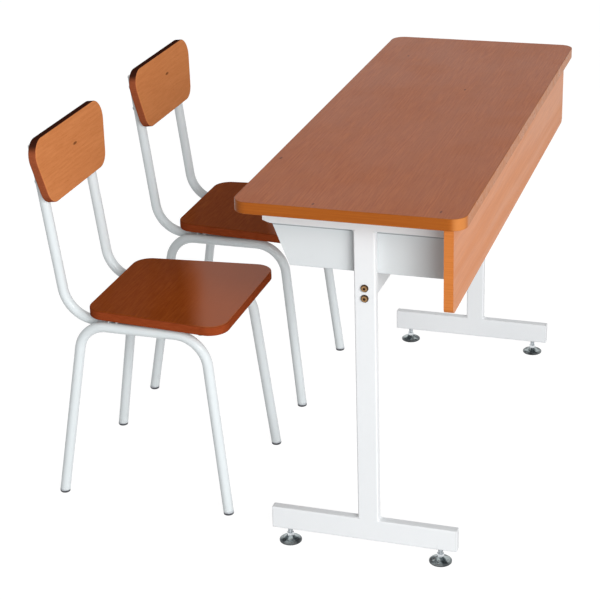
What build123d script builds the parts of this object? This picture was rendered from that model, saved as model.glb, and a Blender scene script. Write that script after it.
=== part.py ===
"""A two-seat school desk with its two chairs, each part a separate piece.

The desk is a laminated board on two welded leg frames of rectangular tube, tied together by
a bolted cross beam. A folded sheet book tray hangs under the board and a wooden modesty panel
closes the side away from the pupils. Each leg frame stands on two screwed levelling feet.
Each chair is two bent hoops of round tube, two bent back tubes, and flat boards to sit on.

The origin is on the floor, at the middle of the whole set. +Z is up and +Y is the way that the
pupils face. Right is +X, and rear is the pupils' side. All lengths are millimetres.
"""

import math
import os

from build123d import *

# Desk top
top_length = 1200.0
top_depth = 440.0
top_thickness = 23.0
top_corner_radius = 30.0
top_band_thickness = 2.0
top_band_round = 0.9
desk_height = 770.0

# Leg frames of rectangular tube
leg_inset = 85.0
leg_tube_width = 20.0
leg_tube_wall = 1.5
leg_tube_round = 3.0
beam_height = 48.0
foot_length = 385.0
foot_cap_thickness = 3.0
foot_cap_plug = 12.0
foot_cap_round = 1.4
floor_gap = 31.0
upright_depth = 42.0
upright_lead = 11.0
rail_rear_setback = 32.0
rail_front_gap = 3.0
rail_nose_length = 16.0
rail_nose_rise = 6.0
weld_radius = 6.0

# Cross beam between the uprights, and its bolts
cross_height = 50.0
cross_depth = 20.0
cross_tray_gap = 9.5
cross_plate_thickness = 3.0
cross_bolt_spacing = 21.0
bolt_radius = 4.0
bolt_hole_radius = 4.3
bolt_head_radius = 7.6
bolt_head_height = 4.4
bolt_head_round = 3.0
bolt_socket_across = 5.0
bolt_socket_depth = 2.4
bolt_end_spare = 3.0
nut_across = 13.0
nut_height = 6.5

# Modesty panel
panel_thickness = 18.0
panel_setback = 21.0
panel_end_inset = 7.5
panel_height = 165.0
panel_corner_radius = 12.0
panel_band_thickness = 1.0

# Book tray of folded sheet
tray_wall = 1.2
tray_height = 139.0
tray_side_gap = 0.2
tray_floor_rear_setback = 77.0
tray_top_rear_setback = 42.0
tray_slant_height = 91.0
tray_bend_radius = 2.6
tray_lip = 11.0
tray_flange = 22.0
tray_screw_height = 46.0
tray_screw_shares = (0.3, 0.85)
relief_length = 9.0
relief_height = 3.0
relief_inset = 9.0

# Panel brackets
bracket_leg = 30.0
bracket_width = 40.0
bracket_thickness = 2.0
bracket_bend_radius = 3.5
bracket_inset = 48.0
bracket_hole_spacing = 22.0
bracket_hole_share = 0.6

# Wood screws with pan heads
screw_radius = 2.2
screw_head_radius = 4.6
screw_head_height = 2.6
screw_bite = 13.0
screw_hole_radius = 2.6
screw_recess_length = 4.4
screw_recess_width = 1.1
screw_recess_depth = 1.5

# Levelling feet
leveller_inset = 35.0
stem_radius = 5.0
stem_hole_radius = 5.6
stem_fit = 0.05
stem_nut_height = 8.0
stem_reach = 27.0
stem_hex_across = 13.0
stem_hex_height = 7.0
stem_end_chamfer = 1.0
disc_radius = 23.0
disc_edge_round = 0.8
disc_rim_height = 3.0
disc_height = 12.5
disc_shoulder_radius = 15.0
disc_shoulder_height = 6.8
disc_neck_radius = 7.2
disc_floor = 3.0
socket_fit = 0.08

# Chairs
chair_gap = 86.0
right_chair_x = 277.0
left_chair_x = -240.0
seat_height = 435.0
seat_thickness = 20.0
seat_depth = 314.0
seat_front_width = 352.0
seat_rear_width = 297.0
seat_corner_radius = 40.0
board_round = 2.5
chair_tube_radius = 11.0
chair_tube_wall = 1.5
rail_drop = 18.5
hoop_foot_width = 322.0
hoop_rail_width = 284.0
front_foot_setback = 11.0
rear_foot_setback = 391.0
hoop_front_setback = 53.0
hoop_rear_setback = 323.0
hoop_front_bend_radius = 71.0
hoop_rear_bend_radius = 62.0
back_tube_width = 226.0
back_tube_setback = 368.0
back_tube_bend_radius = 74.0
back_lean = 6.8
cross_tube_radius = 9.5
front_cross_setback = 128.0
rear_cross_setback = 255.0
seat_screw_spacing = 140.0
backrest_bottom_height = 655.0
backrest_height = 143.0
backrest_top_width = 352.0
backrest_bottom_width = 272.0
backrest_corner_radius = 38.0
backrest_thickness = 18.0
back_tube_top_drop = 24.0
backrest_screw_edge = 46.0
tip_length = 8.0
tip_trim = 2.0
tip_plug = 14.0
tip_round = 3.0
top_plug_thickness = 2.0
top_plug_inset = 0.5
top_plug_length = 12.0

# Levels and places worked out from the sizes above
board_under = desk_height - top_thickness
rail_under = board_under - beam_height
beam_top = floor_gap + beam_height
leg_outer_x = top_length / 2 - leg_inset
leg_inner_x = leg_outer_x - leg_tube_width
leg_x = leg_outer_x - leg_tube_width / 2
sides = {"right": 1, "left": -1}

seat_under = seat_height - seat_thickness
rail_level = seat_under - rail_drop
lean = math.radians(back_lean)
backrest_top_height = backrest_bottom_height + backrest_height * math.cos(lean)
back_tube_end_height = backrest_top_height - back_tube_top_drop
back_tube_end_setback = back_tube_setback + (back_tube_end_height - rail_level) * math.tan(lean)

# The backrest's plane lies in the back tubes' centre lines, and starts at its lower edge
rest_level = backrest_bottom_height - (chair_tube_radius + backrest_thickness) * math.sin(lean)
rest_setback = back_tube_setback + (rest_level - rail_level) * math.tan(lean)
rest_screw_heights = (backrest_screw_edge, backrest_height - backrest_screw_edge)
screw_head_setback = rest_setback + rest_screw_heights[-1] * math.sin(lean)
chair_reach = max(
    back_tube_end_setback + chair_tube_radius * math.cos(lean),
    screw_head_setback + (chair_tube_radius + screw_head_height) * math.cos(lean),
)

# The whole set is centred on the origin, from the desk's front edge to the back tubes' tops
whole_depth = top_depth + chair_gap + chair_reach
desk_front_y = whole_depth / 2
desk_y = desk_front_y - top_depth / 2
desk_rear_y = desk_front_y - top_depth
seat_front_y = desk_rear_y - chair_gap
upright_y = desk_y + upright_lead
panel_front_y = desk_front_y - panel_setback
panel_rear_y = panel_front_y - panel_thickness
tray_floor = board_under - tray_height
cross_centre_height = tray_floor - cross_tray_gap - cross_height / 2
tray_half_length = leg_inner_x - tray_side_gap
tray_top_rear_y = desk_rear_y + tray_top_rear_setback
tray_floor_rear_y = desk_rear_y + tray_floor_rear_setback
rail_rear_y = desk_rear_y + rail_rear_setback
rail_front_y = panel_rear_y - rail_front_gap

# Turns in degrees
half_turn = 180
quarter_turn = 90

os.makedirs("parts", exist_ok=True)


def save(piece, name):
    """Labels a finished piece and writes it under its own name."""
    piece.label = name
    export_step(piece, f"parts/{name}.step")


def side_plane(x):
    """The upright plane across the set at x, drawn with +Y to the right and +Z up."""
    return Plane(origin=(x, 0, 0), x_dir=(0, 1, 0), z_dir=(1, 0, 0))


def along_plane(x, y, z):
    """An upright plane that faces +Y, with +Z up, so its own x runs along -X."""
    return Plane(origin=(x, y, z), x_dir=(-1, 0, 0), z_dir=(0, 1, 0))


def pan_head_screw(grip):
    """A screw along Z, head up, with its head's underside at the origin's level.

    It passes through a thickness of grip before it bites into the wood. Its head has a cross recess.
    """
    crown = (0, screw_head_height)
    rim = (screw_head_radius, screw_head_height / 3)
    with BuildPart() as screw:
        with BuildSketch(Plane.XZ):
            with BuildLine():
                Polyline(
                    crown,
                    (0, -grip - screw_bite),
                    (screw_radius, -grip - screw_bite),
                    (screw_radius, 0),
                    (screw_head_radius, 0),
                    rim,
                )
                TangentArc(crown, rim, tangent=(1, 0))
            make_face()
        revolve(axis=Axis.Z)
        with BuildSketch(Plane.XY.offset(screw_head_height)):
            Rectangle(screw_recess_length, screw_recess_width)
            Rectangle(screw_recess_width, screw_recess_length)
        extrude(amount=-screw_recess_depth, mode=Mode.SUBTRACT)
    return screw.part


# Places of the screws that hold the desk together
rail_screw_ys = [
    rail_rear_y + beam_height,
    upright_y - 2 * upright_depth,
    upright_y + 2 * upright_depth,
    rail_front_y - beam_height / 2,
]
rail_screws = [(sign * leg_x, y) for sign in sides.values() for y in rail_screw_ys]
flange_x = tray_half_length - tray_flange / 2
flange_ys = (tray_top_rear_y + tray_height / 2, panel_rear_y - tray_height / 2)
flange_screws = [(sign * flange_x, y) for sign in sides.values() for y in flange_ys]
tray_back_xs = [
    sign * share * tray_half_length for sign in sides.values() for share in tray_screw_shares
]
bracket_x = top_length / 2 - bracket_inset
bracket_hole_xs = [
    sign * bracket_x + step * bracket_hole_spacing / 2 for sign in sides.values() for step in (-1, 1)
]
bracket_hole_drop = bracket_leg * bracket_hole_share
bracket_hole_y = panel_rear_y - bracket_hole_drop
tray_screw_drop = tray_height - tray_screw_height
board_holes = rail_screws + flange_screws + [(x, bracket_hole_y) for x in bracket_hole_xs]
panel_holes = [(x, -tray_screw_drop) for x in tray_back_xs]
panel_holes += [(x, -bracket_hole_drop) for x in bracket_hole_xs]


# Desk top: a board drilled from below, inside a band of plastic
with BuildPart() as desk_top:
    with BuildSketch(Plane.XY.offset(board_under)):
        with Locations((0, desk_y)):
            RectangleRounded(
                top_length - 2 * top_band_thickness,
                top_depth - 2 * top_band_thickness,
                top_corner_radius - top_band_thickness,
            )
    extrude(amount=top_thickness)
    with BuildSketch(Plane.XY.offset(board_under)):
        with Locations(*board_holes):
            Circle(screw_radius)
    extrude(amount=screw_bite, mode=Mode.SUBTRACT)
save(desk_top.part, "desk_top")

with BuildPart() as top_edge_band:
    with BuildSketch(Plane.XY.offset(board_under)):
        with Locations((0, desk_y)):
            RectangleRounded(top_length, top_depth, top_corner_radius)
            RectangleRounded(
                top_length - 2 * top_band_thickness,
                top_depth - 2 * top_band_thickness,
                top_corner_radius - top_band_thickness,
                mode=Mode.SUBTRACT,
            )
    extrude(amount=top_thickness)
    band_rims = [face.outer_wire().edges() for face in top_edge_band.faces().filter_by(Axis.Z)]
    fillet(band_rims, top_band_round)
save(top_edge_band.part, "top_edge_band")

# Modesty panel, with its upper edge against the board
panel_plane = along_plane(0, panel_front_y, board_under)
panel_half_length = top_length / 2 - panel_end_inset


def panel_outline(inset):
    """The panel's outline, hung from the board's level, drawn in at its ends and bottom."""
    with BuildSketch() as outline:
        with Locations((0, (inset - panel_height) / 2)):
            Rectangle(2 * (panel_half_length - inset), panel_height - inset)
        fillet(outline.vertices().group_by(Axis.Y)[0], panel_corner_radius - inset)
    return outline.sketch_local


panel_core = panel_outline(panel_band_thickness)
with BuildPart() as modesty_panel:
    with BuildSketch(panel_plane):
        add(panel_core)
    extrude(amount=-panel_thickness)
    with BuildSketch(panel_plane.offset(-panel_thickness)):
        with Locations(*panel_holes):
            Circle(screw_radius)
    extrude(amount=screw_bite, mode=Mode.SUBTRACT)
save(modesty_panel.part, "modesty_panel")

with BuildPart() as panel_edge_band:
    with BuildSketch(panel_plane):
        add(panel_outline(0))
        add(panel_core, mode=Mode.SUBTRACT)
    extrude(amount=-panel_thickness)
save(panel_edge_band.part, "panel_edge_band")

# Book tray: floor, two ends and a back of one folded sheet, open towards the pupils
tray_outline = [
    (panel_rear_y, tray_floor),
    (panel_rear_y, board_under),
    (tray_top_rear_y, board_under),
    (tray_top_rear_y, tray_floor + tray_slant_height),
    (tray_floor_rear_y, tray_floor),
]


def tray_block(inset):
    """The tray's outer form as a solid, drawn in on every side by inset."""
    half_length = tray_half_length - inset
    with BuildPart() as block:
        with BuildSketch(side_plane(-half_length)):
            with BuildLine():
                Polyline(*tray_outline, close=True)
            make_face()
            if inset:
                offset(amount=-inset, kind=Kind.INTERSECTION)
        extrude(amount=2 * half_length)
        fillet(block.edges().group_by(Axis.Z)[0], tray_bend_radius - inset)
    return block.part


tray_outside = tray_block(0)
tray_inside = tray_block(tray_wall)
with BuildPart() as book_tray:
    add(tray_outside)
    add(tray_inside, mode=Mode.SUBTRACT)
    # The opening under the board leaves a flange at each end for the screws into the board
    top_opening_depth = panel_rear_y - tray_lip - tray_top_rear_y
    with BuildSketch(Plane.XY.offset(board_under - tray_lip)):
        with Locations((0, tray_top_rear_y + top_opening_depth / 2)):
            Rectangle(2 * (tray_half_length - tray_flange), top_opening_depth)
    extrude(amount=tray_lip, mode=Mode.SUBTRACT)
    # The mouth towards the pupils leaves a stiffening lip along the ends and the floor
    mouth_floor = tray_floor + tray_lip
    with BuildSketch(along_plane(0, tray_top_rear_y, mouth_floor)):
        with Locations((0, (board_under - mouth_floor) / 2)):
            Rectangle(2 * (tray_half_length - tray_lip), board_under - mouth_floor)
    extrude(amount=tray_floor_rear_y + tray_lip - tray_top_rear_y, mode=Mode.SUBTRACT)
    # Relief slots at the two ends of the seam under the rail, and the screw holes
    for x in (-tray_half_length, tray_half_length - tray_wall):
        with BuildSketch(side_plane(x)):
            for y in (tray_top_rear_y + relief_inset, panel_rear_y - relief_inset):
                with Locations((y, rail_under - relief_height)):
                    SlotOverall(relief_length, relief_height)
        extrude(amount=tray_wall, mode=Mode.SUBTRACT)
    with BuildSketch(Plane.XY.offset(board_under - tray_wall)):
        with Locations(*flange_screws):
            Circle(screw_hole_radius)
    extrude(amount=tray_wall, mode=Mode.SUBTRACT)
    with BuildSketch(along_plane(0, panel_rear_y - tray_wall, board_under)):
        with Locations(*[(x, -tray_screw_drop) for x in tray_back_xs]):
            Circle(screw_hole_radius)
    extrude(amount=tray_wall, mode=Mode.SUBTRACT)
save(book_tray.part, "book_tray")

# Top rails: each closed at the pupils' end, where the lower corner is cut back
rail_outline = [
    (rail_front_y, rail_under),
    (rail_front_y, board_under),
    (rail_rear_y, board_under),
    (rail_rear_y, rail_under + rail_nose_rise),
    (rail_rear_y + rail_nose_length, rail_under),
]
for side, sign in sides.items():
    with BuildPart() as top_rail:
        with BuildSketch(side_plane(sign * leg_x)):
            with BuildLine():
                Polyline(*rail_outline, close=True)
            make_face()
        extrude(amount=leg_tube_width / 2, both=True)
        fillet(top_rail.edges().filter_by(Axis.Y), leg_tube_round)
        with BuildSketch(side_plane(sign * leg_x)):
            with BuildLine():
                Polyline(*rail_outline, close=True)
            make_face()
            offset(amount=-leg_tube_wall, kind=Kind.INTERSECTION)
            with Locations((rail_front_y - leg_tube_wall, (rail_under + board_under) / 2)):
                Rectangle(2 * leg_tube_wall, beam_height - 2 * leg_tube_wall)
        extrude(amount=leg_tube_width / 2 - leg_tube_wall, both=True, mode=Mode.SUBTRACT)
        with BuildSketch(Plane.XY.offset(rail_under)):
            with Locations(*[(sign * leg_x, y) for y in rail_screw_ys]):
                Circle(screw_hole_radius)
        extrude(amount=beam_height, mode=Mode.SUBTRACT)
    save(top_rail.part, f"{side}_top_rail")


def tube_section(across, along):
    """The wall of a rectangular leg tube, centred on the sketch's origin."""
    RectangleRounded(across, along, leg_tube_round)
    RectangleRounded(
        across - 2 * leg_tube_wall,
        along - 2 * leg_tube_wall,
        leg_tube_round - leg_tube_wall,
        mode=Mode.SUBTRACT,
    )


# Uprights, drilled for the cross beam's bolts
bolt_places = [
    (upright_y, cross_centre_height + step * cross_bolt_spacing / 2) for step in (-1, 1)
]
for side, sign in sides.items():
    with BuildPart() as upright:
        with BuildSketch(Plane(origin=(sign * leg_x, upright_y, beam_top))):
            tube_section(leg_tube_width, upright_depth)
        extrude(amount=rail_under - beam_top)
        with BuildSketch(side_plane(sign * leg_x)):
            with Locations(*bolt_places):
                Circle(bolt_hole_radius)
        extrude(amount=leg_tube_width / 2, both=True, mode=Mode.SUBTRACT)
    save(upright.part, f"{side}_upright")

# Foot beams, with a hole near each end for a levelling screw
foot_tube_length = foot_length - 2 * foot_cap_thickness
foot_rear_y = desk_y - foot_tube_length / 2
foot_front_y = desk_y + foot_tube_length / 2
foot_level = floor_gap + beam_height / 2
leveller_ys = {
    "rear": desk_y - foot_length / 2 + leveller_inset,
    "front": desk_y + foot_length / 2 - leveller_inset,
}
for side, sign in sides.items():
    with BuildPart() as foot_beam:
        with BuildSketch(along_plane(sign * leg_x, foot_rear_y, foot_level)):
            tube_section(leg_tube_width, beam_height)
        extrude(amount=foot_tube_length)
        with BuildSketch(Plane.XY.offset(floor_gap)):
            with Locations(*[(sign * leg_x, y) for y in leveller_ys.values()]):
                Circle(stem_hole_radius)
        extrude(amount=leg_tube_wall, mode=Mode.SUBTRACT)
    save(foot_beam.part, f"{side}_foot_beam")

# Plastic caps in the foot beams' four ends: one cap facing +Y, then its copies
with BuildPart() as foot_cap:
    with BuildSketch(along_plane(0, 0, 0)):
        RectangleRounded(leg_tube_width, beam_height, leg_tube_round)
    extrude(amount=foot_cap_thickness)
    fillet(foot_cap.faces().sort_by(Axis.Y)[-1].edges(), foot_cap_round)
    with BuildSketch(along_plane(0, 0, 0)):
        RectangleRounded(
            leg_tube_width - 2 * leg_tube_wall,
            beam_height - 2 * leg_tube_wall,
            leg_tube_round - leg_tube_wall,
        )
    extrude(amount=-foot_cap_plug)
with BuildPart() as foot_beam_caps:
    for sign in sides.values():
        with Locations(
            Location((sign * leg_x, foot_front_y, foot_level)),
            Location((sign * leg_x, foot_rear_y, foot_level), (0, 0, half_turn)),
        ):
            add(foot_cap.part)
save(foot_beam_caps.part, "foot_beam_caps")


# Welds of each leg frame: hollow fillets before and behind the upright, flush beads beside it
def corner_bead(radius, length):
    """A bar along X that fills the corner of two faces, and is hollowed by a quarter circle."""
    with BuildPart() as bead:
        with BuildSketch(side_plane(0)):
            with BuildLine():
                Polyline((0, radius), (0, 0), (radius, 0))
                CenterArc((radius, radius), radius, half_turn, quarter_turn)
            make_face()
        extrude(amount=length / 2, both=True)
    return bead.part


fillet_bead = corner_bead(weld_radius, leg_tube_width - 2 * leg_tube_round)
flush_bead = corner_bead(leg_tube_round, upright_depth - 2 * leg_tube_round)
with BuildPart() as leg_welds:
    for sign in sides.values():
        for level, rise in ((beam_top, 1), (rail_under, -1)):
            for face in (1, -1):
                fillet_y = upright_y + face * upright_depth / 2
                with Locations(
                    Plane((sign * leg_x, fillet_y, level), (face * rise, 0, 0), (0, 0, rise))
                ):
                    add(fillet_bead)
                flush_x = sign * leg_x + face * leg_tube_width / 2
                with Locations(
                    Plane((flush_x, upright_y, level), (0, -face * rise, 0), (0, 0, -rise))
                ):
                    add(flush_bead)
save(leg_welds.part, "leg_welds")

# Cross beam, closed by a drilled plate against each upright
cross_half_length = leg_inner_x - cross_plate_thickness
with BuildPart() as cross_beam:
    with BuildSketch(side_plane(-cross_half_length)):
        with Locations((upright_y, cross_centre_height)):
            tube_section(cross_depth, cross_height)
    extrude(amount=2 * cross_half_length)
save(cross_beam.part, "cross_beam")

with BuildPart() as cross_beam_plates:
    for x in (-leg_inner_x, cross_half_length):
        with BuildSketch(side_plane(x)):
            with Locations((upright_y, cross_centre_height)):
                RectangleRounded(cross_depth, cross_height, leg_tube_round)
            with Locations(*bolt_places):
                Circle(bolt_hole_radius, mode=Mode.SUBTRACT)
        extrude(amount=cross_plate_thickness)
save(cross_beam_plates.part, "cross_beam_plates")

# Bolts through each upright and plate, into nuts welded inside the cross beam
bolt_length = leg_tube_width + cross_plate_thickness + nut_height + bolt_end_spare
with BuildPart() as bolt:
    with BuildSketch():
        Circle(bolt_head_radius)
    extrude(amount=bolt_head_height)
    fillet(bolt.faces().sort_by(Axis.Z)[-1].edges(), bolt_head_round)
    with BuildSketch(Plane.XY.offset(bolt_head_height)):
        RegularPolygon(bolt_socket_across / 2, 6, major_radius=False)
    extrude(amount=-bolt_socket_depth, mode=Mode.SUBTRACT)
    with BuildSketch():
        Circle(bolt_radius)
    extrude(amount=-bolt_length)
with BuildPart() as nut:
    with BuildSketch():
        RegularPolygon(nut_across / 2, 6, major_radius=False)
        Circle(bolt_radius, mode=Mode.SUBTRACT)
    extrude(amount=-nut_height)
bolt_planes = []
nut_planes = []
for sign in sides.values():
    for y, z in bolt_places:
        bolt_planes.append(Plane((sign * leg_outer_x, y, z), (0, 1, 0), (sign, 0, 0)))
        nut_planes.append(Plane((sign * cross_half_length, y, z), (0, 1, 0), (sign, 0, 0)))
with BuildPart() as cross_beam_bolts:
    with Locations(*bolt_planes):
        add(bolt.part)
save(cross_beam_bolts.part, "cross_beam_bolts")
with BuildPart() as cross_beam_nuts:
    with Locations(*nut_planes):
        add(nut.part)
save(cross_beam_nuts.part, "cross_beam_nuts")

# Folded brackets that hold the modesty panel to the board, outside the leg frames
with BuildPart() as panel_brackets:
    for sign in sides.values():
        with BuildSketch(side_plane(sign * bracket_x)):
            with BuildLine():
                Polyline(
                    (panel_rear_y, board_under - bracket_leg),
                    (panel_rear_y, board_under),
                    (panel_rear_y - bracket_leg, board_under),
                    (panel_rear_y - bracket_leg, board_under - bracket_thickness),
                    (panel_rear_y - bracket_thickness, board_under - bracket_thickness),
                    (panel_rear_y - bracket_thickness, board_under - bracket_leg),
                    close=True,
                )
            make_face()
        extrude(amount=bracket_width / 2, both=True)
    bends = panel_brackets.edges().filter_by(Axis.X)
    outer_bends = bends.filter_by(lambda e: e.center().Y == panel_rear_y)
    fillet(outer_bends.group_by(Axis.Z)[-1], bracket_bend_radius)
    with BuildSketch(Plane.XY.offset(board_under - bracket_thickness)):
        with Locations(*[(x, bracket_hole_y) for x in bracket_hole_xs]):
            Circle(screw_hole_radius)
    extrude(amount=bracket_thickness, mode=Mode.SUBTRACT)
    with BuildSketch(along_plane(0, panel_rear_y - bracket_thickness, board_under)):
        with Locations(*[(x, -bracket_hole_drop) for x in bracket_hole_xs]):
            Circle(screw_hole_radius)
    extrude(amount=bracket_thickness, mode=Mode.SUBTRACT)
save(panel_brackets.part, "panel_brackets")


# Wood screws: up into the board, and forward into the panel
def upward(places, level):
    """Planes on which screws are driven up from the given level."""
    return [Plane((x, y, level), (1, 0, 0), (0, 0, -1)) for x, y in places]


def forward(places, y):
    """Planes on which screws are driven towards +Y from the given depth."""
    return [Plane((x, y, z), (1, 0, 0), (0, -1, 0)) for x, z in places]


with BuildPart() as top_rail_screws:
    with Locations(*upward(rail_screws, rail_under)):
        add(pan_head_screw(beam_height))
save(top_rail_screws.part, "top_rail_screws")

tray_back_places = [(x, board_under - tray_screw_drop) for x in tray_back_xs]
with BuildPart() as tray_screws:
    with Locations(
        *upward(flange_screws, board_under - tray_wall),
        *forward(tray_back_places, panel_rear_y - tray_wall),
    ):
        add(pan_head_screw(tray_wall))
save(tray_screws.part, "tray_screws")

bracket_up_places = [(x, bracket_hole_y) for x in bracket_hole_xs]
bracket_back_places = [(x, board_under - bracket_hole_drop) for x in bracket_hole_xs]
with BuildPart() as bracket_screws:
    with Locations(
        *upward(bracket_up_places, board_under - bracket_thickness),
        *forward(bracket_back_places, panel_rear_y - bracket_thickness),
    ):
        add(pan_head_screw(bracket_thickness))
save(bracket_screws.part, "bracket_screws")

# Levelling feet: a domed disc that stands still, and a screw that turns in its socket
stem_top = floor_gap + stem_reach
hex_top = disc_height + stem_hex_height
with BuildPart() as leveller_disc:
    with BuildSketch(Plane.XZ):
        with BuildLine():
            Polyline(
                (stem_radius + socket_fit, disc_height),
                (stem_radius + socket_fit, disc_floor),
                (0, disc_floor),
                (0, 0),
                (disc_radius - disc_edge_round, 0),
                (disc_radius, disc_edge_round),
                (disc_radius, disc_rim_height),
            )
            TangentArc(
                (disc_radius, disc_rim_height),
                (disc_shoulder_radius, disc_shoulder_height),
                tangent=(-1, 1),
            )
            RadiusArc(
                (disc_shoulder_radius, disc_shoulder_height),
                (disc_neck_radius, disc_height),
                disc_shoulder_radius,
            )
            Line((disc_neck_radius, disc_height), (stem_radius + socket_fit, disc_height))
        make_face()
    revolve(axis=Axis.Z)
with BuildPart() as leveller_stem:
    with BuildSketch(Plane.XY.offset(disc_floor)):
        Circle(stem_radius)
    extrude(amount=stem_top - disc_floor)
    chamfer(leveller_stem.faces().sort_by(Axis.Z)[-1].edges(), stem_end_chamfer)
    with BuildSketch(Plane.XY.offset(disc_height)):
        RegularPolygon(stem_hex_across / 2, 6, major_radius=False)
    extrude(amount=stem_hex_height)
with BuildPart() as stem_nut:
    with BuildSketch(Plane.XY.offset(floor_gap + leg_tube_wall)):
        RegularPolygon(
            leg_tube_width / 2 - leg_tube_round, 6, major_radius=False, rotation=quarter_turn
        )
        Circle(stem_radius + stem_fit, mode=Mode.SUBTRACT)
    extrude(amount=stem_nut_height)
for side, sign in sides.items():
    for end, y in leveller_ys.items():
        with BuildPart() as disc:
            with Locations((sign * leg_x, y)):
                add(leveller_disc.part)
        save(disc.part, f"{side}_{end}_foot_disc")
        with BuildPart() as stem:
            with Locations((sign * leg_x, y)):
                add(leveller_stem.part)
        save(stem.part, f"{side}_{end}_foot_stem")
with BuildPart() as stem_nuts:
    with Locations(*[(sign * leg_x, y) for sign in sides.values() for y in leveller_ys.values()]):
        add(stem_nut.part)
save(stem_nuts.part, "stem_nuts")

# Chairs: the same pieces, made for each chair's place
front_cross_y = seat_front_y - front_cross_setback
rear_cross_y = seat_front_y - rear_cross_setback
cross_level = seat_under - cross_tube_radius
back_tube_x = back_tube_width / 2
hoop_rail_x = hoop_rail_width / 2
hoop_spread = (hoop_foot_width - hoop_rail_width) / 2
hoop_drop = math.hypot(hoop_spread, rail_level)
leg_setbacks = ((rear_foot_setback, hoop_rear_setback), (front_foot_setback, hoop_front_setback))
forward_normal = Vector(0, math.cos(lean), math.sin(lean))


def ring(radius):
    """The section of a round tube."""
    Circle(radius)
    Circle(radius - chair_tube_wall, mode=Mode.SUBTRACT)


def rest_plane(x):
    """The backrest's plane at x: it faces the desk, with its own x along -X and y up the tube."""
    return Plane((x, seat_front_y - rest_setback, rest_level), (-1, 0, 0), forward_normal)


def rounded_board(plane, near_width, far_width, depth, thickness, corner, holes):
    """A board on the plane, as wide as stated at its near and far ends, and drilled from behind."""
    with BuildPart() as board:
        with BuildSketch(plane) as outline:
            with BuildLine():
                Polyline(
                    (-near_width / 2, 0),
                    (near_width / 2, 0),
                    (far_width / 2, depth),
                    (-far_width / 2, depth),
                    close=True,
                )
            make_face()
            fillet(outline.vertices(), corner)
        extrude(amount=thickness)
        across = board.faces().sort_by(Axis(plane.origin, plane.z_dir))
        fillet(across[0].edges() + across[-1].edges(), board_round)
        with BuildSketch(plane):
            with Locations(*holes):
                Circle(screw_radius)
        extrude(amount=screw_bite, mode=Mode.SUBTRACT)
    return board.part


def hoop_plane(x, sign):
    """The plane of one hoop, through its rail's centre line and spread outwards to the floor."""
    rail_centre = (x + sign * hoop_rail_x, 0, rail_level)
    return Plane(rail_centre, (0, 1, 0), (rail_level, 0, sign * hoop_spread))


def leg_points(foot_setback, corner_setback):
    """The ends of a leg's tube in the hoop's plane: above its tip, and at the hoop's corner."""
    run = foot_setback - corner_setback
    tip_share = tip_length / math.hypot(run, hoop_drop)
    end = (seat_front_y - foot_setback + tip_share * run, (tip_share - 1) * hoop_drop)
    return end, (seat_front_y - corner_setback, 0)


def hoop(x, sign):
    """One bent tube that is both legs of a side and the rail between them."""
    rear_leg, front_leg = [leg_points(*setbacks) for setbacks in leg_setbacks]
    bend_radii = (hoop_rear_bend_radius, hoop_front_bend_radius)
    with BuildPart() as tube:
        with BuildLine(hoop_plane(x, sign)) as path:
            FilletPolyline(*rear_leg, *reversed(front_leg), radius=bend_radii)
        with BuildSketch(Plane(path.line @ 0, z_dir=path.line % 0)):
            ring(chair_tube_radius)
        sweep(path=path.line)
    return tube.part


def back_tube(x):
    """A bent tube from the front cross tube, back under the seat and up behind the backrest."""
    with BuildPart() as tube:
        with BuildLine(side_plane(x)) as path:
            FilletPolyline(
                (front_cross_y, rail_level),
                (seat_front_y - back_tube_setback, rail_level),
                (seat_front_y - back_tube_end_setback, back_tube_end_height),
                radius=back_tube_bend_radius,
            )
        with BuildSketch(along_plane(x, front_cross_y, rail_level)):
            ring(chair_tube_radius)
        sweep(path=path.line)
        with BuildSketch(side_plane(x)):
            with Locations((front_cross_y, cross_level)):
                Circle(cross_tube_radius)
        extrude(amount=2 * chair_tube_radius, both=True, mode=Mode.SUBTRACT)
        with BuildSketch(rest_plane(x)):
            with Locations(*[(0, height) for height in rest_screw_heights]):
                Circle(screw_hole_radius)
        extrude(amount=2 * chair_tube_radius, both=True, mode=Mode.SUBTRACT)
    return tube.part


def cross_tube(x, y, saddle_xs):
    """A tube across a chair between its rails, hollowed over the tubes it crosses, and drilled."""
    with BuildPart() as tube:
        with BuildSketch(side_plane(x - hoop_rail_x)):
            with Locations((y, cross_level)):
                ring(cross_tube_radius)
        extrude(amount=2 * hoop_rail_x)
        with BuildSketch(along_plane(x, y, rail_level)):
            with Locations(*[(sign * saddle_x, 0) for saddle_x in saddle_xs for sign in (1, -1)]):
                Circle(chair_tube_radius)
        extrude(amount=2 * cross_tube_radius, both=True, mode=Mode.SUBTRACT)
        with BuildSketch(Plane((x, y, cross_level))):
            with Locations((-seat_screw_spacing / 2, 0), (seat_screw_spacing / 2, 0)):
                Circle(screw_hole_radius)
        extrude(amount=2 * cross_tube_radius, both=True, mode=Mode.SUBTRACT)
    return tube.part


def plug(thickness, radius, depth):
    """A cap along Z with a plug above it that fills a chair tube."""
    with BuildPart() as cap:
        with BuildSketch():
            Circle(radius)
        extrude(amount=-thickness)
        with BuildSketch():
            Circle(chair_tube_radius - chair_tube_wall)
        extrude(amount=depth)
        fillet(cap.faces().sort_by(Axis.Z)[0].edges(), tip_round * thickness / tip_length)
    return cap.part


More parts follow.
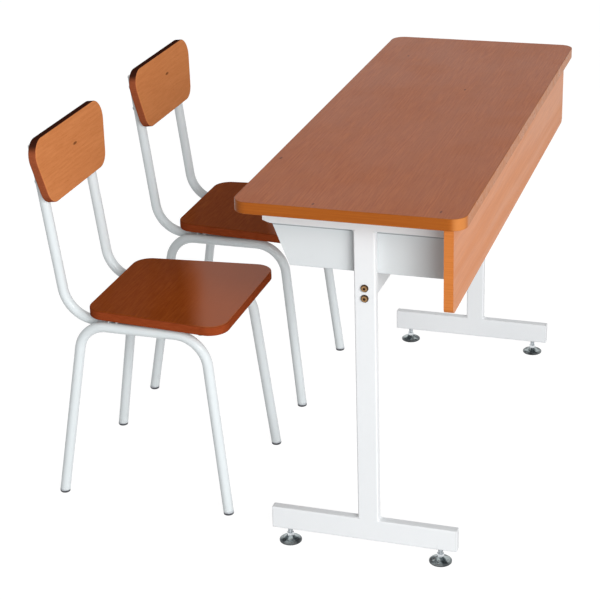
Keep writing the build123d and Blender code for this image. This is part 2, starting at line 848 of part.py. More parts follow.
seat_screw_xs = (-seat_screw_spacing / 2, seat_screw_spacing / 2)
foot_tip = plug(tip_length + tip_trim, chair_tube_radius, tip_plug)
top_plug = plug(top_plug_thickness, chair_tube_radius - top_plug_inset, top_plug_length)
for chair, chair_x in {"right_chair": right_chair_x, "left_chair": left_chair_x}.items():
    seat_board = rounded_board(
        Plane((chair_x, seat_front_y, seat_under), (-1, 0, 0), (0, 0, 1)),
        seat_front_width,
        seat_rear_width,
        seat_depth,
        seat_thickness,
        seat_corner_radius,
        [(x, setback) for x in seat_screw_xs for setback in (front_cross_setback, rear_cross_setback)],
    )
    save(seat_board, f"{chair}_seat_board")

    backrest_board = rounded_board(
        rest_plane(chair_x).offset(chair_tube_radius),
        backrest_bottom_width,
        backrest_top_width,
        backrest_height,
        backrest_thickness,
        backrest_corner_radius,
        [(sign * back_tube_x, height) for sign in sides.values() for height in rest_screw_heights],
    )
    save(backrest_board, f"{chair}_backrest_board")

    for side, sign in sides.items():
        save(hoop(chair_x, sign), f"{chair}_{side}_hoop")
        save(back_tube(chair_x + sign * back_tube_x), f"{chair}_{side}_back_tube")
    front_cross_tube = cross_tube(chair_x, front_cross_y, [hoop_rail_x])
    save(front_cross_tube, f"{chair}_front_cross_tube")
    rear_cross_tube = cross_tube(chair_x, rear_cross_y, [hoop_rail_x, back_tube_x])
    save(rear_cross_tube, f"{chair}_rear_cross_tube")

    tip_planes = []
    for sign in sides.values():
        own_plane = hoop_plane(chair_x, sign)
        for setbacks in leg_setbacks:
            end, corner = [own_plane.from_local_coords(point) for point in leg_points(*setbacks)]
            tip_planes.append(Plane(end, z_dir=corner - end))
    with BuildPart() as foot_tips:
        with Locations(*tip_planes):
            add(foot_tip)
        split(bisect_by=Plane.XY, keep=Keep.TOP)
    save(foot_tips.part, f"{chair}_foot_tips")

    with BuildPart() as back_tube_plugs:
        for sign in sides.values():
            end = Vector(chair_x + sign * back_tube_x, seat_front_y - back_tube_end_setback)
            end += Vector(0, 0, back_tube_end_height)
            down = Vector(0, math.sin(lean), -math.cos(lean))
            with Locations(Plane(end, z_dir=down)):
                add(top_plug)
    save(back_tube_plugs.part, f"{chair}_back_tube_plugs")

    seat_screw_places = [
        (chair_x + x, y) for x in seat_screw_xs for y in (front_cross_y, rear_cross_y)
    ]
    with BuildPart() as seat_screws:
        with Locations(*upward(seat_screw_places, seat_under - 2 * cross_tube_radius)):
            add(pan_head_screw(2 * cross_tube_radius))
    save(seat_screws.part, f"{chair}_seat_screws")

    with BuildPart() as backrest_screws:
        for sign in sides.values():
            behind = rest_plane(chair_x + sign * back_tube_x).offset(-chair_tube_radius)
            for height in rest_screw_heights:
                start = behind.from_local_coords((0, height))
                with Locations(Plane(start, (1, 0, 0), -forward_normal)):
                    add(pan_head_screw(2 * chair_tube_radius))
    save(backrest_screws.part, f"{chair}_backrest_screws")
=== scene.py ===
"""Looks of a two-seat school desk and its two chairs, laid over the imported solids."""

import math

import bpy
import numpy as np
from mathutils import Matrix, Vector


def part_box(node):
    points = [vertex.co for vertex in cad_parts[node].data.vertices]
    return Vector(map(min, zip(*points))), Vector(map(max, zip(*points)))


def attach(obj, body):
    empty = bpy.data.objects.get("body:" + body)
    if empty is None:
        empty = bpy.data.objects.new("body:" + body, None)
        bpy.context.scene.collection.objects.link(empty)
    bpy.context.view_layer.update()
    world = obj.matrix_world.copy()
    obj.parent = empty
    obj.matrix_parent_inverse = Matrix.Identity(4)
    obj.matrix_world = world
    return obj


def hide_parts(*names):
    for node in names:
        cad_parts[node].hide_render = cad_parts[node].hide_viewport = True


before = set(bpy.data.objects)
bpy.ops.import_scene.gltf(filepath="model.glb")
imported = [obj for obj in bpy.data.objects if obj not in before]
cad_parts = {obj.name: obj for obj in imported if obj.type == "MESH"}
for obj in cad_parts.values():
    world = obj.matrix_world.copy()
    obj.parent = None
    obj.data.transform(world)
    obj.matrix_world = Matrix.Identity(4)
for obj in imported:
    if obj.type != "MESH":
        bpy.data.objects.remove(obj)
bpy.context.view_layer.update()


def middle_of(node):
    """The middle of a node's box."""
    low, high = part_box(node)
    return (low + high) / 2


# Places that the frame gives, in metres
chair_middles = {chair: middle_of(f"{chair}_seat_board").x for chair in ("right_chair", "left_chair")}
chairs_middle = (chair_middles["right_chair"] + chair_middles["left_chair"]) / 2
chairs_half_gap = (chair_middles["right_chair"] - chair_middles["left_chair"]) / 2
seat_low, seat_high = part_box("right_chair_seat_board")
seat_front_y = seat_high.y
beam_low, beam_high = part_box("cross_beam")
beam_middle = middle_of("cross_beam")
beam_half = (beam_high - beam_low) / 2
front_stem = middle_of("right_front_foot_stem")
rear_stem = middle_of("right_rear_foot_stem")
stem_x = front_stem.x
stem_middle_y = (front_stem.y + rear_stem.y) / 2
stem_half_gap = (front_stem.y - rear_stem.y) / 2

# Sizes of the chair frames
rail_x = 0.142
back_tube_x = 0.113
rail_level = 0.3965
chair_tube_radius = 0.011
cross_level = 0.4055
cross_tube_radius = 0.0095
front_cross_setback = 0.128
rear_cross_setback = 0.255
back_lean = math.radians(6.8)

# Sizes of the levelling feet's stems
stem_radius = 0.005
stem_chamfer = 0.001
thread_pitch = 0.0015
thread_depth = 0.0009
hexagon_half = 0.0065
hexagon_low = 0.0125
hexagon_high = 0.0195
hexagon_crown = 0.0069

# Sizes that the finishes and the weld beads follow
bolt_half_spacing = 0.0105
rail_shadow_level = 0.6905
ply_thickness = 0.0034
chair_bead_radius = 0.0017
beam_bead_radius = 0.0012
beam_bead_end_gap = 0.003
bead_ripple_length = 0.0019
bead_ripple_share = 0.10


class Wire:
    """One output of a shader node. Arithmetic on it adds the Math nodes."""

    def __init__(self, bench, socket):
        self.bench = bench
        self.socket = socket

    def maths(self, operation, *values):
        return self.bench.node("ShaderNodeMath", {"operation": operation}, dict(enumerate(values)))

    def __add__(self, other):
        return self.maths("ADD", self, other)

    def __sub__(self, other):
        return self.maths("SUBTRACT", self, other)

    def __rsub__(self, other):
        return self.maths("SUBTRACT", other, self)

    def __mul__(self, other):
        return self.maths("MULTIPLY", self, other)

    def __truediv__(self, other):
        return self.maths("DIVIDE", self, other)

    def __pow__(self, other):
        return self.maths("POWER", self, other)

    def __abs__(self):
        return self.maths("ABSOLUTE", self)

    __radd__ = __add__
    __rmul__ = __mul__


class Bench:
    """A shader being put together."""

    def __init__(self, owner):
        owner.use_nodes = True
        self.owner = owner
        self.tree = owner.node_tree
        self.tree.nodes.clear()

    def node(self, kind, settings, values, output=0):
        """Adds a node of one type, with its settings first and then the values or wires of its sockets."""
        made = self.tree.nodes.new(kind)
        for name, value in settings.items():
            setattr(made, name, value)
        for socket, value in values.items():
            if isinstance(value, Wire):
                self.tree.links.new(value.socket, made.inputs[socket])
            else:
                made.inputs[socket].default_value = value
        return Wire(self, made.outputs[output]) if made.outputs else None

    def place(self):
        """The point on the surface, in metres in the part's own frame."""
        return self.node("ShaderNodeTexCoord", {}, {}, "Object")

    def facing(self):
        """The way that the surface faces, in the part's own frame."""
        return self.node("ShaderNodeTexCoord", {}, {}, "Normal")

    def parts(self, vector):
        """The X, Y and Z of a vector."""
        first = self.node("ShaderNodeSeparateXYZ", {}, {0: vector})
        return [Wire(self, output) for output in first.socket.node.outputs]

    def stretch(self, vector, factors):
        """A vector with each axis multiplied by its own factor."""
        return self.node("ShaderNodeVectorMath", {"operation": "MULTIPLY"}, {0: vector, 1: factors})

    def shift(self, vector, distances):
        """A vector moved along each axis."""
        return self.node("ShaderNodeVectorMath", {"operation": "ADD"}, {0: vector, 1: distances})

    def noise(self, vector, scale, detail=3.0, roughness=0.55):
        """Cloudy values around a half."""
        values = {"Vector": vector, "Scale": scale, "Detail": detail, "Roughness": roughness}
        return self.node("ShaderNodeTexNoise", {"noise_dimensions": "3D"}, values, "Fac")

    def cells(self, vector, scale):
        """The distance to the nearest of many scattered points."""
        values = {"Vector": vector, "Scale": scale}
        return self.node("ShaderNodeTexVoronoi", {"feature": "F1"}, values, "Distance")

    def step(self, value, low, high, start=0.0, end=1.0):
        """A smooth step from start to end as a value goes from low to high."""
        values = {0: value, 1: low, 2: high, 3: start, 4: end}
        return self.node("ShaderNodeMapRange", {"interpolation_type": "SMOOTHSTEP"}, values)

    def mix(self, share, first, second):
        """A colour between two, where a share of 1 is the second."""
        colours = [tone if isinstance(tone, Wire) else (*tone, 1.0) for tone in (first, second)]
        values = {0: share, 6: colours[0], 7: colours[1]}
        return self.node("ShaderNodeMix", {"data_type": "RGBA"}, values, 2)

    def bump(self, height, distance):
        """A relief whose full height is a distance in metres."""
        return self.node("ShaderNodeBump", {}, {"Height": height, "Distance": distance})

    def finish(self, colour, roughness, relief, **others):
        """The surface itself, from its colour, roughness and relief and what any other sockets take."""
        values = {"Base Color": colour, "Roughness": roughness, "Normal": relief}
        values.update({name.replace("_", " "): value for name, value in others.items()})
        surface = self.node("ShaderNodeBsdfPrincipled", {}, values)
        self.node("ShaderNodeOutputMaterial", {}, {"Surface": surface})
        return self.owner


def bench(name):
    """A new material to work on."""
    return Bench(bpy.data.materials.new(name))


def shade(tone, share):
    """A colour with its red, green and blue multiplied by a share."""
    return tuple(share * part for part in tone)


def wood_grain(work, point, along, across):
    """Print of a straight-grained board: broad bands, fibres and short pores, all drawn out along X."""
    bands = work.noise(work.stretch(point, (along * 0.9, across * 0.12, across * 0.12)), 1.0, 2.0)
    fibres = work.noise(work.stretch(point, (along * 6.0, across, across)), 1.0, 5.0, 0.62)
    pores = work.noise(work.stretch(point, (along * 26.0, across * 2.6, across * 2.6)), 1.0, 2.0)
    return bands, fibres, work.step(pores, 0.60, 0.74)


def knot(work, beside, along, centre, length, width):
    """A mask that is 1 in a small oval with soft edges and 0 outside it."""
    reach = ((along - centre[0]) / length) ** 2.0 + ((beside - centre[1]) / width) ** 2.0
    return work.step(reach, 0.25, 1.0, 1.0, 0.0)


# Small knots of the backrests: place along X and Z, then half the length and half the width
backrest_knots = [
    ((0.2655, 0.7406), 0.0112, 0.0034),
    ((-0.2559, 0.7446), 0.0112, 0.0034),
]
# Small knots of the desk top: place along X and Y, then half the length and half the width
top_knots = [
    ((0.3455, 0.0510), 0.0085, 0.0030),
    ((0.5796, 0.1891), 0.0065, 0.0028),
    ((0.5670, 0.4245), 0.0080, 0.0026),
    ((-0.1860, 0.3020), 0.0070, 0.0028),
    ((-0.4310, 0.1120), 0.0060, 0.0024),
]


def desk_top_laminate():
    """Reddish-brown wood print under a satin melamine skin, with the grain along the desk."""
    work = bench("desk_top_laminate")
    point = work.place()
    x, y, _ = work.parts(point)
    bands, fibres, pores = wood_grain(work, point, 2.2, 300.0)
    dark_fibre = (0.378, 0.090, 0.022)
    light_fibre = (0.490, 0.138, 0.036)
    band_tone = (0.382, 0.103, 0.029)
    pore_tone = (0.235, 0.054, 0.016)
    knot_tone = (0.085, 0.016, 0.006)
    colour = work.mix(work.step(fibres, 0.28, 0.72), dark_fibre, light_fibre)
    colour = work.mix(work.step(bands, 0.35, 0.70) * 0.45, colour, band_tone)
    colour = work.mix(pores * 0.30, colour, pore_tone)
    for centre, length, width in top_knots:
        colour = work.mix(knot(work, y, x, centre, length, width) * 0.75, colour, knot_tone)
    smudges = work.noise(point, 7.0, 4.0)
    roughness = work.step(smudges, 0.35, 0.70, 0.34, 0.40) + pores * 0.06
    relief = work.bump(fibres * 0.6 - pores, 0.00004)
    return work.finish(colour, roughness, relief, Specular_IOR_Level=0.09)


def panel_laminate():
    """The same print a shade lighter, standing on its long edge."""
    work = bench("modesty_panel_laminate")
    point = work.shift(work.place(), (3.1, 0.0, 1.7))
    bands, fibres, pores = wood_grain(work, point, 2.0, 270.0)
    # Painted light: these tones are lighter than the desk top's, for the light that falls on the panel's
    # front face
    dark_fibre = (0.560, 0.176, 0.040)
    light_fibre = (0.635, 0.214, 0.052)
    band_tone = (0.572, 0.182, 0.043)
    pore_tone = (0.430, 0.115, 0.026)
    colour = work.mix(work.step(fibres, 0.28, 0.72), dark_fibre, light_fibre)
    colour = work.mix(work.step(bands, 0.35, 0.70) * 0.25, colour, band_tone)
    colour = work.mix(pores * 0.24, colour, pore_tone)
    roughness = work.step(bands, 0.35, 0.70, 0.34, 0.42)
    relief = work.bump(fibres * 0.6 - pores, 0.00004)
    return work.finish(colour, roughness, relief, Specular_IOR_Level=0.16)


def edging(name, light, dark, painted_light_tone):
    """Moulded edging strip: a faint grain print, soft scuffs, a fine pimpled skin, and a paler front.

    Painted light makes it palest round the two front corners, and a little paler along the front face, as
    if lit from the front right.
    """
    work = bench(name)
    point = work.place()
    face_x, face_y, _ = work.parts(work.facing())
    streaks = work.noise(work.stretch(point, (5.0, 5.0, 700.0)), 1.0, 3.0)
    scuffs = work.noise(point, 46.0, 5.0, 0.7)
    colour = work.mix(work.step(streaks, 0.30, 0.72), dark, light)
    colour = work.mix(work.step(scuffs, 0.62, 0.80) * 0.35, colour, shade(dark, 0.72))
    # Painted light: the front face and the two front corners are mixed towards a paler tone
    front = work.step(face_y, 0.70, 0.98) * 0.55
    corners = work.step(abs(face_x) * face_y * 2.0, 0.15, 0.95)
    colour = work.mix(corners.maths("MAXIMUM", corners, front), colour, painted_light_tone)
    roughness = work.step(scuffs, 0.35, 0.70, 0.27, 0.40)
    relief = work.bump(work.noise(point, 1500.0, 1.0), 0.00003)
    return work.finish(colour, roughness, relief, Specular_IOR_Level=0.08)


def powder_coat(name, colour, dusty, roughness_range, peel, dust_level, sheen, rail_shadow=None):
    """Baked powder coat: orange peel, faint clouds in the colour, and a little dust low down.

    A level may be given at which a thin dark line, painted shadow of the gap under the top rail, runs along
    the faces that look along X.
    """
    work = bench(name)
    point = work.place()
    _, _, z = work.parts(point)
    clouds = work.noise(point, 5.0, 4.0)
    marks = work.noise(work.stretch(point, (60.0, 60.0, 22.0)), 1.0, 6.0, 0.72)
    base = work.mix(work.step(clouds, 0.30, 0.72) * 0.35, colour, dusty)
    low = work.step(z, 0.0, dust_level, 1.0, 0.0)
    dust = work.step(marks, 0.58, 0.82) * (low * 0.55 + 0.10)
    base = work.mix(dust, base, shade(dusty, 0.74))
    if rail_shadow:
        # Painted shadow: a thin dark line under the top rail
        rail_shadow_tone = (0.150, 0.170, 0.190)
        face_x, _, _ = work.parts(work.facing())
        line = work.step(abs(z - rail_shadow), 0.0004, 0.0014, 1.0, 0.0) * work.step(abs(face_x), 0.5, 0.8)
        base = work.mix(line * 0.75, base, rail_shadow_tone)
    roughness = work.step(marks, 0.35, 0.75, *roughness_range)
    skin = work.noise(point, 620.0, 2.0) + work.noise(point, 1900.0, 1.0) * 0.3
    return work.finish(base, roughness, work.bump(skin, peel), Specular_IOR_Level=sheen)


def sheen_and_polish_front(work, x, y):
    """A mask that is 1 on the front of each seat and fades out towards the back: gloss that clothes polish,
    and a painted sheen.

    Its rear border slants, and reaches further back on each seat's left side.
    """
    border_slant = 0.46
    full_depth = 0.105
    faded_depth = 0.165
    beside = x - chairs_middle - x.maths("SIGN", x) * chairs_half_gap
    behind = (seat_front_y - y) + beside * border_slant
    return work.step(behind, full_depth, faded_depth, 1.0, 0.0)


def board_veneer(name, face_tones, edge_tones, lowest_roughness, up, low_face, knots, sheen_and_polish=None):
    """Stained and lacquered plywood: straight veneer on the faces and thin plies along the edges.

    The direction up is square to the board; a point's height along it, from low_face, gives the plies.
    Polish is a function whose mask makes a face glossier, and paler with a painted sheen.
    """
    knot_tone = (0.130, 0.038, 0.010)
    shaded_upper_edge_tone = (0.026, 0.008, 0.006)
    work = bench(name)
    point = work.place()
    x, y, z = work.parts(point)
    _, face_y, face_z = work.parts(work.facing())
    toward = abs(face_y * up[1] + face_z * up[2])
    on_face = work.step(toward, 0.55, 0.85)
    bands, fibres, pores = wood_grain(work, point, 3.4, 230.0)
    dark, light, pore_tone = face_tones
    face = work.mix(work.step(fibres, 0.30, 0.70), dark, light)
    face = work.mix(work.step(bands, 0.30, 0.70) * 0.5, face, dark)
    face = work.mix(pores * 0.45, face, pore_tone)
    for centre, length, width in knots:
        face = work.mix(knot(work, z, x, centre, length, width) * 0.8, face, knot_tone)
    height = (y * up[1] + z * up[2] - low_face) / ply_thickness
    plies = work.step(abs(height.maths("FRACT", height) - 0.5), 0.30, 0.46)
    fuzz = work.noise(work.stretch(point, (55.0, 55.0, 700.0)), 1.0, 4.0, 0.65)
    dark_edge, light_edge = edge_tones
    edge = work.mix(work.step(fuzz, 0.30, 0.72), dark_edge, light_edge)
    edge = work.mix(plies * 0.35, edge, shade(dark_edge, 0.55))
    # Painted shade: edges that face up are made nearly black
    edge = work.mix(work.step(face_z, 0.30, 0.75) * 0.92, edge, shaded_upper_edge_tone)
    wear = work.noise(point, 34.0, 5.0, 0.7)
    lacquer = on_face * 0.06
    if sheen_and_polish:
        sheen_and_polish_mask = sheen_and_polish(work, x, y) * on_face
        # Painted sheen: the polished front of a face is mixed towards a paler tone
        face = work.mix(sheen_and_polish_mask * 0.8, face, shade(light, 1.3))
        lacquer = lacquer.maths("MAXIMUM", lacquer, sheen_and_polish_mask * 0.55)
    coat = {"Coat_Weight": lacquer, "Coat_Roughness": 0.18, "Coat_IOR": 1.34}
    colour = work.mix(on_face, edge, face)
    roughness = work.step(wear, 0.35, 0.72, lowest_roughness, lowest_roughness + 0.12) + pores * 0.05
    relief = work.bump(fibres * 0.5 - pores * 0.8, 0.00005)
    return work.finish(colour, roughness, relief, Specular_IOR_Level=0.0, **coat)


def moulded_plastic(name, colour, dark, level, lowest_roughness):
    """Moulded plastic: fine spark texture, and a darker tone below a level."""
    work = bench(name)
    point = work.place()
    _, _, z = work.parts(point)
    spots = work.noise(point, 160.0, 4.0, 0.7)
    low_darkening = work.step(z + (spots - 0.5) * 0.002, level * 0.45, level, 1.0, 0.0)
    base = work.mix(work.step(spots, 0.35, 0.72) * 0.3, colour, shade(colour, 0.88))
    base = work.mix(low_darkening, base, dark)
    roughness = work.step(spots, 0.35, 0.70, lowest_roughness, lowest_roughness + 0.12)
    relief = work.bump(work.noise(point, 2400.0, 1.0), 0.00003)
    return work.finish(base, roughness, relief, Specular_IOR_Level=0.45)


def bolt_zinc():
    """Yellow zinc on the beam's bolts: brown-gold crowns, with a painted dark reflection round the rim and
    painted shade in the socket.
    """
    work = bench("bolt_yellow_zinc")
    point = work.place()
    _, y, z = work.parts(point)
    brown = (0.270, 0.150, 0.065)
    gold = (0.480, 0.290, 0.135)
    painted_dark_tone = (0.055, 0.032, 0.020)
    above = abs(z - beam_middle.z) - bolt_half_spacing
    from_axis = ((y - beam_middle.y) ** 2.0 + above**2.0) ** 0.5
    drift = work.noise(point, 420.0, 4.0, 0.6)
    base = work.mix(work.step(drift, 0.30, 0.70), brown, gold)
    # Painted dark reflection round the rim and painted shade in the socket
    painted_dark_mask = work.step(from_axis, 0.0046, 0.0066) + work.step(from_axis, 0.0024, 0.0032, 1.0, 0.0)
    base = work.mix(painted_dark_mask * 0.88, base, painted_dark_tone)
    roughness = work.step(drift, 0.30, 0.70, 0.34, 0.20) + painted_dark_mask * 0.10
    relief = work.bump(work.noise(point, 2600.0, 2.0), 0.00002)
    return work.finish(base, roughness, relief, Metallic=1.0)


def plating(name, bright, dull, lowest_roughness, patches, speckle):
    """Electroplated steel: metal whose colour and gloss drift in patches, with fine dull specks."""
    work = bench(name)
    point = work.place()
    drift = work.noise(point, patches, 4.0, 0.6)
    specks = work.step(work.cells(point, speckle), 0.10, 0.28, 1.0, 0.0)
    base = work.mix(work.step(drift, 0.32, 0.68), dull, bright)
    base = work.mix(specks * 0.45, base, shade(dull, 0.5))
    roughness = work.step(drift, 0.30, 0.70, lowest_roughness + 0.12, lowest_roughness) + specks * 0.12
    relief = work.bump(work.noise(point, patches * 9.0, 2.0), 0.00002)
    return work.finish(base, roughness, relief, Metallic=1.0)


def disc_chrome():
    """Chromed levelling discs with painted reflections, light and dark sectors and a dark outer ring, and
    painted shade in a darker rim by the floor.
    """
    work = bench("levelling_disc_chrome")
    point = work.place()
    x, y, z = work.parts(point)
    out_x = abs(x) - stem_x
    out_y = abs(y - stem_middle_y) - stem_half_gap
    from_axis = (out_x**2.0 + out_y**2.0) ** 0.5
    drift = work.noise(point, 60.0, 3.0, 0.5)
    round_axis = out_y.maths("ARCTAN2", out_y, out_x) * 3.0 + drift * 5.0
    reflection_sectors = round_axis.maths("SINE", round_axis) * 0.5 + 0.5
    shaded_low_rim = work.step(z, 0.0012, 0.0038, 1.0, 0.0)
    outer = work.step(from_axis, 0.0165, 0.0215)
    # Painted reflections in the sectors and the outer ring; painted shade in the rim by the floor
    reflected_dark_tone = (0.090, 0.110, 0.118)
    reflected_light_tone = (0.400, 0.450, 0.455)
    reflected_ring_tone = (0.085, 0.090, 0.095)
    shaded_rim_tone = (0.045, 0.046, 0.048)
    base = work.mix(work.step(reflection_sectors, 0.25, 0.80), reflected_dark_tone, reflected_light_tone)
    base = work.mix(outer * 0.70, base, reflected_ring_tone)
    base = work.mix(shaded_low_rim * 0.90, base, shaded_rim_tone)
    roughness = work.step(drift, 0.30, 0.70, 0.30, 0.20) + shaded_low_rim * 0.20
    relief = work.bump(work.noise(point, 700.0, 2.0), 0.00001)
    return work.finish(base, roughness, relief, Metallic=1.0)


def seat_veneer():
    """The seats' dark red-brown faces and edges; the faces are painted darker than the backrests' with the
    desk's shade.
    """
    return board_veneer(
        "seat_board_veneer",
        # Painted shade: these face tones are darker than the backrests', for the desk's shadow over the
        # seats
        face_tones=((0.250, 0.048, 0.006), (0.335, 0.072, 0.011), (0.140, 0.026, 0.005)),
        edge_tones=((0.250, 0.044, 0.011), (0.335, 0.066, 0.020)),
        lowest_roughness=0.24,
        up=(0.0, 0.0, 1.0),
        low_face=seat_low.z,
        knots=[],
        sheen_and_polish=sheen_and_polish_front,
    )


def backrest_veneer():
    """The backrests' lighter orange-brown faces, each with one small knot, and dark red edges."""
    return board_veneer(
        "backrest_board_veneer",
        face_tones=((0.590, 0.205, 0.067), (0.665, 0.248, 0.087), (0.462, 0.141, 0.040)),
        edge_tones=((0.290, 0.072, 0.028), (0.370, 0.096, 0.040)),
        lowest_roughness=0.28,
        up=(0.0, math.cos(back_lean), math.sin(back_lean)),
        low_face=0.0,
        knots=backrest_knots,
    )


desk_paint = powder_coat(
    "desk_frame_powder_coat",
    colour=(0.810, 0.830, 0.845),
    dusty=(0.745, 0.765, 0.785),
    roughness_range=(0.30, 0.40),
    peel=0.00005,
    dust_level=0.06,
    sheen=0.34,
)
# Painted shade: the tray's coat is greyer than the frame's, for the shade under the desk top
shaded_tray_paint = powder_coat(
    "book_tray_powder_coat",
    colour=(0.690, 0.725, 0.738),
    dusty=(0.652, 0.688, 0.704),
    roughness_range=(0.32, 0.42),
    peel=0.00004,
    dust_level=0.06,
    sheen=0.30,
    rail_shadow=rail_shadow_level,
)
chair_paint = powder_coat(
    "chair_frame_powder_coat",
    colour=(0.720, 0.770, 0.785),
    dusty=(0.670, 0.720, 0.740),
    roughness_range=(0.12, 0.22),
    peel=0.00002,
    dust_level=0.10,
    sheen=0.50,
)
top_edging = edging(
    "desk_top_edging",
    light=(0.388, 0.108, 0.014),
    dark=(0.320, 0.080, 0.010),
    painted_light_tone=(0.540, 0.195, 0.050),
)
panel_edging = edging(
    "modesty_panel_edging",
    light=(0.630, 0.208, 0.048),
    dark=(0.545, 0.168, 0.036),
    painted_light_tone=(0.660, 0.230, 0.056),
)
stem_zinc = plating(
    "stem_bright_zinc",
    bright=(0.820, 0.850, 0.870),
    dull=(0.600, 0.630, 0.655),
    lowest_roughness=0.16,
    patches=240.0,
    speckle=1300.0,
)
finishes = {
    "desk_laminate": desk_top_laminate(),
    "panel_laminate": panel_laminate(),
    "edge_band": top_edging,
    "desk_paint": desk_paint,
    "chair_paint": chair_paint,
    "chair_plywood": seat_veneer(),
    "white_plastic": moulded_plastic(
        "white_cap_plastic",
        colour=(0.760, 0.780, 0.795),
        dark=(0.560, 0.575, 0.590),
        level=0.034,
        lowest_roughness=0.34,
    ),
    "tip_plastic": moulded_plastic(
        "leg_tip_plastic",
        colour=(0.560, 0.590, 0.620),
        dark=(0.030, 0.032, 0.040),
        level=0.0065,
        lowest_roughness=0.42,
    ),
    "yellow_zinc": bolt_zinc(),
    "bright_zinc": stem_zinc,
    "dark_chrome": disc_chrome(),
}
backrest_finish = backrest_veneer()
# Nodes that don't take the finish of their slot
own_finishes = {
    "right_chair_backrest_board": backrest_finish,
    "left_chair_backrest_board": backrest_finish,
    "book_tray": shaded_tray_paint,
    "panel_edge_band": panel_edging,
}
for node_name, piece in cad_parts.items():
    for surface in piece.material_slots:
        slot_name = surface.material.name.split(".")[0]
        surface.material = own_finishes.get(node_name, finishes[slot_name])


def shell(rings):
    """Points and faces of a closed skin through rings, given as an array of ring, point and XYZ.

    Each ring closes on itself, neighbouring rings are joined by quads, and the first and last rings are
    closed by fans of triangles to their middle points. Faces point outwards where each ring turns to the
    left about the way that the rings advance.
    """
    count, around, _ = rings.shape
    points = np.concatenate([rings.reshape(-1, 3), rings[:1].mean(axis=1), rings[-1:].mean(axis=1)])
    ring, place = np.meshgrid(np.arange(count - 1) * around, np.arange(around), indexing="ij")
    beside = (place + 1) % around
    quads = np.stack([ring + place, ring + beside, ring + around + beside, ring + around + place], axis=-1)
    place = np.arange(around)
    beside = (place + 1) % around
    last = (count - 1) * around
    low_pole = np.full(around, count * around)
    low_fan = np.stack([beside, place, low_pole], axis=-1)
    high_fan = np.stack([last + place, last + beside, low_pole + 1], axis=-1)
    return points, quads.reshape(-1, 4), np.concatenate([low_fan, high_fan])


def add_piece(name, shells, material, body, sharp=40.0):
    """A mesh object of one or more closed shells that rides on a body and takes a slot's finish.

    Edges that turn by more than the sharp angle, in degrees, stay crisp.
    """
    points = []
    quads = []
    fans = []
    start = 0
    for shell_points, shell_quads, shell_fans in shells:
        points.append(shell_points)
        quads.append(shell_quads + start)
        fans.append(shell_fans + start)
        start += len(shell_points)
    faces = np.concatenate(quads).tolist() + np.concatenate(fans).tolist()
    mesh = bpy.data.meshes.new(name)
    mesh.from_pydata(np.concatenate(points).tolist(), [], faces)
    mesh.shade_smooth()
    mesh.set_sharp_from_angle(angle=math.radians(sharp))
    mesh.materials.append(material)
    piece = bpy.data.objects.new(name, mesh)
    bpy.context.scene.collection.objects.link(piece)
    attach(piece, body)
    return piece


def threaded_stem(foot):
    """The screw of a levelling foot, with a rolled thread and a pressed hexagon.

    The radius is a function of angle and height. On the thread it is the stem's radius less a groove that
    depends on height over pitch less angle over a full turn, so that it winds up the stem. On the hexagon
    it is the half width over the cosine of the angle from the nearest flat, held below a cone at each end.
    At the stem's two ends it is held below a chamfer.
    """
    points_round = 48
    rings_a_turn = 8
    flank_slope = 1.25
    crest_share = 0.15
    cone_slope = 1.7
    low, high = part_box(foot)
    angle = np.linspace(0, 2 * np.pi, points_round, endpoint=False)
    run = np.arange(low.z, high.z, thread_pitch / rings_a_turn)
    below = np.append(run[run < hexagon_low], hexagon_low)
    across = np.array([0, 0.0004, 0.0012])
    hexagon = np.concatenate([hexagon_low + across, hexagon_high - across[::-1]])
    above = np.concatenate([[hexagon_high], run[run > hexagon_high], [high.z]])
    height = np.concatenate([below, hexagon, above])[:, None]
    on_hexagon = np.repeat([False, True, False], [len(below), len(hexagon), len(above)])[:, None]

    turns = height / thread_pitch - angle / (2 * np.pi)
    ramp = np.abs((turns % 1.0) * 2 - 1)
    thread = stem_radius - thread_depth * np.clip(flank_slope * ramp - crest_share, 0, 1)
    end_gap = np.minimum(height - low.z, high.z - height)
    thread = np.minimum(thread, stem_radius - stem_chamfer + end_gap)
    flat = hexagon_half / np.cos((angle + np.pi / 6) % (np.pi / 3) - np.pi / 6)
    face_gap = np.minimum(height - hexagon_low, hexagon_high - height)
    hexagonal = np.minimum(flat, hexagon_crown + cone_slope * face_gap)
    radius = np.where(on_hexagon, hexagonal, thread)

    middle = middle_of(foot)
    x = middle.x + radius * np.cos(angle)
    y = middle.y + radius * np.sin(angle)
    z = height + 0 * angle
    return shell(np.stack([x, y, z], axis=-1))


def bead(path, normal, radius):
    """A weld bead: a circle carried along a path, with a ripple for each dip and ends that run out.

    The circle stands square to the path, on the given normals and their cross products with the path's
    direction. Its radius swells and sinks with a cosine of the length gone, and falls off at the two ends.
    """
    way = np.gradient(path, axis=0)
    way /= np.linalg.norm(way, axis=1, keepdims=True)
    side = np.cross(way, normal)
    side /= np.linalg.norm(side, axis=1, keepdims=True)
    out = np.cross(side, way)
    steps = np.linalg.norm(np.diff(path, axis=0), axis=1)
    gone = np.concatenate([[0], np.cumsum(steps)])
    ends = np.minimum(gone, gone[-1] - gone) / radius
    ripple = 1 + bead_ripple_share * np.cos(gone * 2 * np.pi / bead_ripple_length)
    size = radius * ripple * np.sqrt(np.clip(ends, 0.01, 1))
    turn = np.linspace(0, 2 * np.pi, 10, endpoint=False)[:, None]
    circle = out[:, None] * np.cos(turn) + side[:, None] * np.sin(turn)
    return shell(path[:, None] + size[:, None, None] * circle)


